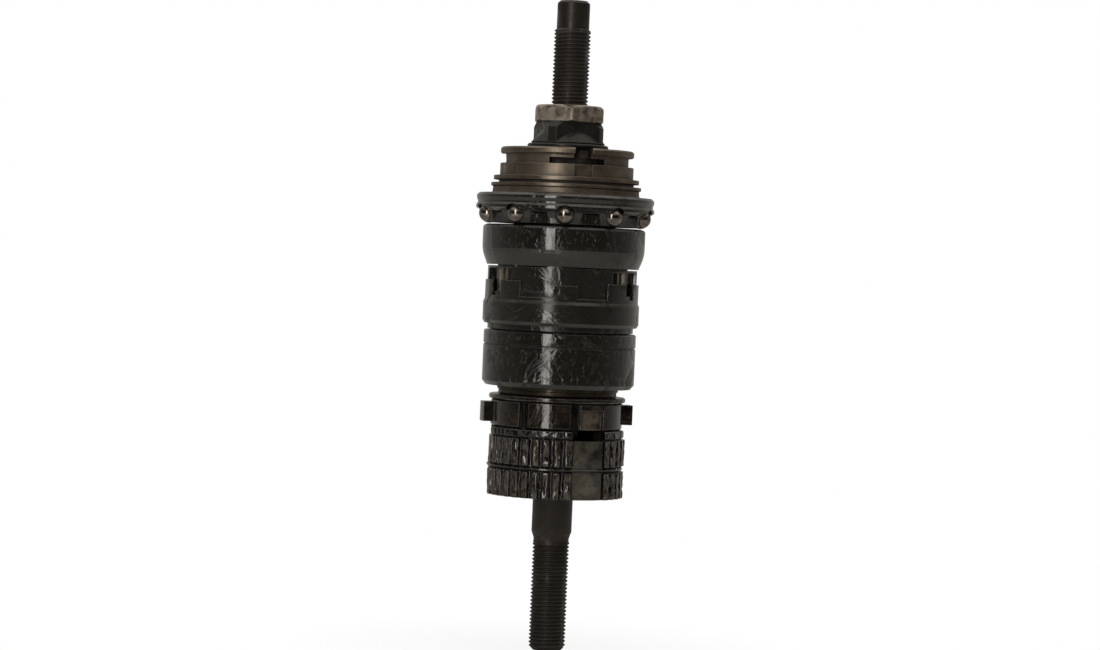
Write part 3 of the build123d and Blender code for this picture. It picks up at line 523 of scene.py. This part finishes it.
# % Spring copy on the axle
coil = merged(nodes["clutch_spring"])
coil.materials.append(finishes["bright"])
coil.shade_smooth()
coil.set_sharp_from_angle(angle=math.radians(40))
spring = bpy.data.objects.new("clutch_spring_coil", coil)
bpy.context.collection.objects.link(spring)
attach(spring, "axle")
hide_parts("clutch_spring")
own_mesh(spring)

# %% [markdown]
# ### Axle threads
# The axle has a fine thread of 26 turns to the inch at both ends, with two flats milled along it.
# The CAD axle is plain there. A grid is rolled into a tube whose rows climb one pitch in each turn,
# so that the crest of the thread runs along a row and stays crisp. The radius is the least of
# the thread, the flats, the end chamfers and the plain tip. The middle of the axle, with the sun
# teeth, is the CAD shape cut off where the threads begin.

# %% Thread recipe
sheet, size = recipe("threaded end", {
    "Low": "Float", "High": "Float", "Radius": "Float", "Depth": "Float", "Pitch": "Float",
    "Thread end": "Float", "Beyond": "Float", "Low chamfer": "Float", "High chamfer": "Float",
    "Flat": "Float", "Flat turn": "Float", "Flat end": "Float", "Bore": "Float", "Last": "Float",
    "Rows": "Int"})
segments = 96
grid = sheet.node("GeometryNodeMeshGrid", {}, {
    "Size X": 1.0, "Size Y": 1.0, "Vertices X": segments + 1, "Vertices Y": size["Rows"]})
spot = sheet.node("GeometryNodeInputPosition")
across = sheet.node("ShaderNodeSeparateXYZ", {}, {0: spot}, out=0) + 0.5
along = sheet.node("ShaderNodeSeparateXYZ", {}, {0: spot}, out=1) + 0.5
pitch = size["Pitch"]
row = along * (size["Rows"] - 1.0)
climb = (row - 1.0) / (size["Rows"] - 4.0) * (size["High"] - size["Low"] + pitch) - pitch
height = size["Low"] + (climb + pitch * across).most(0.0)
height = height.least(size["High"])
wave = sheet.node("ShaderNodeMath", {"operation": "FRACT"}, {0: climb / pitch + 100.0})
groove = abs(wave * 2.0 - 1.0).rise(0.12, 0.88)
fade = ((size["Thread end"] - height) / pitch).held()
radius = size["Radius"] - size["Depth"] * groove * fade
beyond = size["Beyond"] + (size["Thread end"] - height).most(0.0) * 2.0
chamfer_low = size["Radius"] - size["Low chamfer"] + height - size["Low"]
chamfer_high = size["Beyond"] - size["High chamfer"] + size["High"] - height
angle = across * (2 * math.pi)
slope = abs(sheet.node("ShaderNodeMath", {"operation": "COSINE"}, {0: angle - size["Flat turn"]}))
flat = size["Flat"] / slope.most(0.05) + (height - size["Flat end"]).most(0.0) * 1.2
radius = radius.least(beyond).least(chamfer_low).least(chamfer_high).least(flat)
inner = (0.5 - row).held() * 2.0 + (row - (size["Rows"] - 2.5)).held() * 2.0
inner = inner.held()
last = (row - (size["Rows"] - 1.5)).held() * 2.0
last = last.held()
radius = radius * (1.0 - inner) + size["Bore"] * inner
height = height * (1.0 - last) + size["Last"] * last
turn = [sheet.node("ShaderNodeMath", {"operation": f}, {0: angle}) for f in ("COSINE", "SINE")]
rolled = sheet.node("ShaderNodeCombineXYZ", {}, {
    "X": radius * turn[0], "Y": radius * turn[1], "Z": height})
tube = sheet.node("GeometryNodeSetPosition", {}, {"Geometry": grid, "Position": rolled})
tube = sheet.node("GeometryNodeMergeByDistance", {}, {"Geometry": tube, "Distance": 1e-6})
tube = sheet.node("GeometryNodeSetShadeSmooth", {}, {"Geometry": tube})
bend = sheet.node("GeometryNodeInputMeshEdgeAngle")
sharp = sheet.node("FunctionNodeCompare", {"operation": "GREATER_THAN"}, {0: bend, 1: math.radians(50)})
tube = sheet.node("GeometryNodeSetShadeSmooth", {"domain": "EDGE"},
                  {"Geometry": tube, "Selection": sharp, "Shade Smooth": False})
threaded_end = finish_recipe(sheet, tube, finishes["axle"])

# %% Threads of this axle
thread_r = 4.7625 * mm
pitch = 25.4 * mm / 26
flat_turn = math.radians(67.5 - 90)
axle_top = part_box("axle")[1][2]
nut_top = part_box("lock_nut")[1][2]
relief_low = 28.2 * mm
tip_r, tip_low = 4.2 * mm, axle_top - 7.4 * mm
bore_r = 2.1 * mm


def rows_for(length):
    """Grid rows for a thread of this length, eight to each turn."""
    return round((length + pitch) / pitch * 8) + 4


shared = {"Radius": thread_r, "Depth": 0.50 * mm, "Pitch": pitch, "Flat": 4.45 * mm,
          "Flat turn": flat_turn}
lower_high = relief_low + 0.7 * mm
lower = made_by(threaded_end, "lower_thread", {
    **shared, "Low": 0.0, "High": lower_high, "Thread end": relief_low, "Beyond": 4.55 * mm,
    "Low chamfer": 1.15 * mm, "High chamfer": 0.0, "Flat end": 20 * mm, "Bore": 0.0,
    "Last": lower_high, "Rows": rows_for(lower_high)})
upper_low = nut_top - 0.05 * mm
upper = made_by(threaded_end, "upper_thread", {
    **shared, "Low": upper_low, "High": axle_top, "Thread end": tip_low, "Beyond": tip_r,
    "Low chamfer": 0.0, "High chamfer": 0.7 * mm, "Flat end": tip_low, "Bore": bore_r,
    "Last": upper_low, "Rows": rows_for(axle_top - upper_low)})

# %% Middle of the axle, from the CAD shape
shape = bmesh.new()
shape.from_mesh(nodes["axle"].data)
bmesh.ops.remove_doubles(shape, verts=shape.verts, dist=1e-6)
for cut_height, keep_above in ((relief_low + 0.3 * mm, True), (nut_top - 0.02 * mm, False)):
    parts = shape.verts[:] + shape.edges[:] + shape.faces[:]
    cut = bmesh.ops.bisect_plane(shape, geom=parts, dist=1e-7, plane_co=(0, 0, cut_height),
                                 plane_no=(0, 0, 1), clear_inner=keep_above, clear_outer=not keep_above)
    rim = [e for e in cut["geom_cut"] if isinstance(e, bmesh.types.BMEdge)]
    if keep_above:
        bmesh.ops.edgenet_fill(shape, edges=rim)
    else:
        bmesh.ops.bridge_loops(shape, edges=rim)
bmesh.ops.recalc_face_normals(shape, faces=shape.faces)
for part in (lower, upper):
    shape.from_mesh(part.data)
    bpy.data.objects.remove(part, do_unlink=True)
whole = bpy.data.meshes.new("axle_threaded")
shape.to_mesh(whole)
open_edges = sum(1 for e in shape.edges if not e.is_manifold)
shape.free()
whole.materials.append(finishes["axle"])
axle = bpy.data.objects.new("axle_threaded", whole)
bpy.context.collection.objects.link(axle)
for face in whole.polygons:
    face.use_smooth = True
    face.material_index = 0
whole.set_sharp_from_angle(angle=math.radians(50))
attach(axle, "axle")
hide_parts("axle")
print("axle", len(whole.polygons), "faces", open_edges, "open edges")

# %% [markdown]
# ## Camera, floor and light
# The photograph is taken from a little above the middle, with a long lens, and the axle leans
# slightly to the right. The background is white. A tall narrow softbox to the left of the camera
# makes the bright streak down every round surface; the room behind the camera is dark, and white
# paper stands behind and beside the hub.

# %% Camera
picture_width = 1100
focal_pixels = 2940.0
camera_place = Vector((0.0, -0.761, 0.0997))
aim = Vector((-2.65 * mm, 0.0, 84.2 * mm))
lean = math.radians(2.45)
camera_data = bpy.data.cameras.new("camera")
camera_data.sensor_width = 36.0
camera_data.lens = focal_pixels / picture_width * camera_data.sensor_width
camera_data.clip_end = 20.0
camera = bpy.data.objects.new("camera", camera_data)
bpy.context.collection.objects.link(camera)
ahead = (aim - camera_place).normalized()
side = ahead.cross(Vector((0, 0, 1))).normalized()
above = side.cross(ahead)
right = side * math.cos(lean) + above * math.sin(lean)
up = above * math.cos(lean) - side * math.sin(lean)
turned_to = Matrix((right, up, -ahead)).transposed().to_4x4()
camera.matrix_world = Matrix.Translation(camera_place) @ turned_to
bpy.context.scene.camera = camera
bpy.context.scene.view_settings.view_transform = "Standard"
print("lens", round(camera_data.lens, 1), "mm")

# %% Floor
floor_mesh = bpy.data.meshes.new("floor")
disc = bmesh.new()
bmesh.ops.create_circle(disc, cap_ends=True, radius=0.8, segments=96)
disc.to_mesh(floor_mesh)
disc.free()
floor = bpy.data.objects.new("floor", floor_mesh)
bpy.context.collection.objects.link(floor)
f = Finish("pale floor")
away = f.node("ShaderNodeVectorMath", {"operation": "LENGTH"}, {0: f.place}, out=1)
seen = f.node("ShaderNodeLightPath", out=0)
paper = f.noise(4.0 * mm, 4.0, 0.6)
pale = f.blend(paper, (0.66, 0.66, 0.65), (0.70, 0.70, 0.69))
matt = f.node("ShaderNodeBsdfDiffuse", {}, {"Color": pale})
white = f.node("ShaderNodeEmission", {}, {"Color": (1.0, 1.0, 1.0, 1.0), "Strength": 1.0})
whiteness = seen * (0.90 + 0.10 * away.rise(0.01, 0.07))
mixed = f.node("ShaderNodeMixShader", {}, {0: whiteness, 1: matt, 2: white})
f.node("ShaderNodeOutputMaterial", {}, {"Surface": mixed})
floor_mesh.materials.append(f.material)

# %% World
world = bpy.data.worlds.new("studio")
bpy.context.scene.world = world
world.use_nodes = True
w = Sheet(world.node_tree)
direction = w.node("ShaderNodeTexCoord", out=0)
back = w.node("ShaderNodeSeparateXYZ", {}, {0: direction}, out=1)
top = w.node("ShaderNodeSeparateXYZ", {}, {0: direction}, out=2)
sides = 0.012 + 0.07 * back.rise(-0.6, -0.2) + 0.20 * back.rise(-0.1, 0.75)
mirrored = sides.most(0.9 * top.rise(0.35, 0.9))
camera_ray = w.node("ShaderNodeLightPath", out=0)
glossy_ray = w.node("ShaderNodeLightPath", out=3)
level = camera_ray + (1.0 - camera_ray) * (glossy_ray * mirrored + (1.0 - glossy_ray) * 0.40)
warm = w.node("ShaderNodeMix", {"data_type": "RGBA"},
              {0: camera_ray, 6: (1.0, 0.955, 0.89, 1.0), 7: (1.0, 1.0, 1.0, 1.0)}, out=2)
sky = w.node("ShaderNodeBackground", {}, {"Color": warm, "Strength": level})
w.node("ShaderNodeOutputWorld", {}, {"Surface": sky})

# %% Softboxes
def softbox(name, azimuth, distance, height, width, tall, strength, tint=(1.0, 1.0, 1.0)):
    """Area light that faces the axle. Azimuth 0 is in front and grows to the right."""
    data = bpy.data.lights.new(name, "AREA")
    data.shape = "RECTANGLE"
    data.size, data.size_y = width, tall
    data.energy = strength * math.pi * width * tall
    data.color = tint
    lamp = bpy.data.objects.new(name, data)
    turn = math.radians(azimuth)
    place = Vector((math.sin(turn) * distance, -math.cos(turn) * distance, height))
    lamp.location = place
    lamp.rotation_euler = (Vector((0, 0, 0.09)) - place).to_track_quat("-Z", "Y").to_euler()
    lamp.visible_camera = False
    bpy.context.collection.objects.link(lamp)


softbox("strip", azimuth=-18.5, distance=0.42, height=0.22, width=0.100, tall=0.44, strength=4.2,
        tint=(1.0, 0.965, 0.92))
print("lights", len(bpy.data.lights))
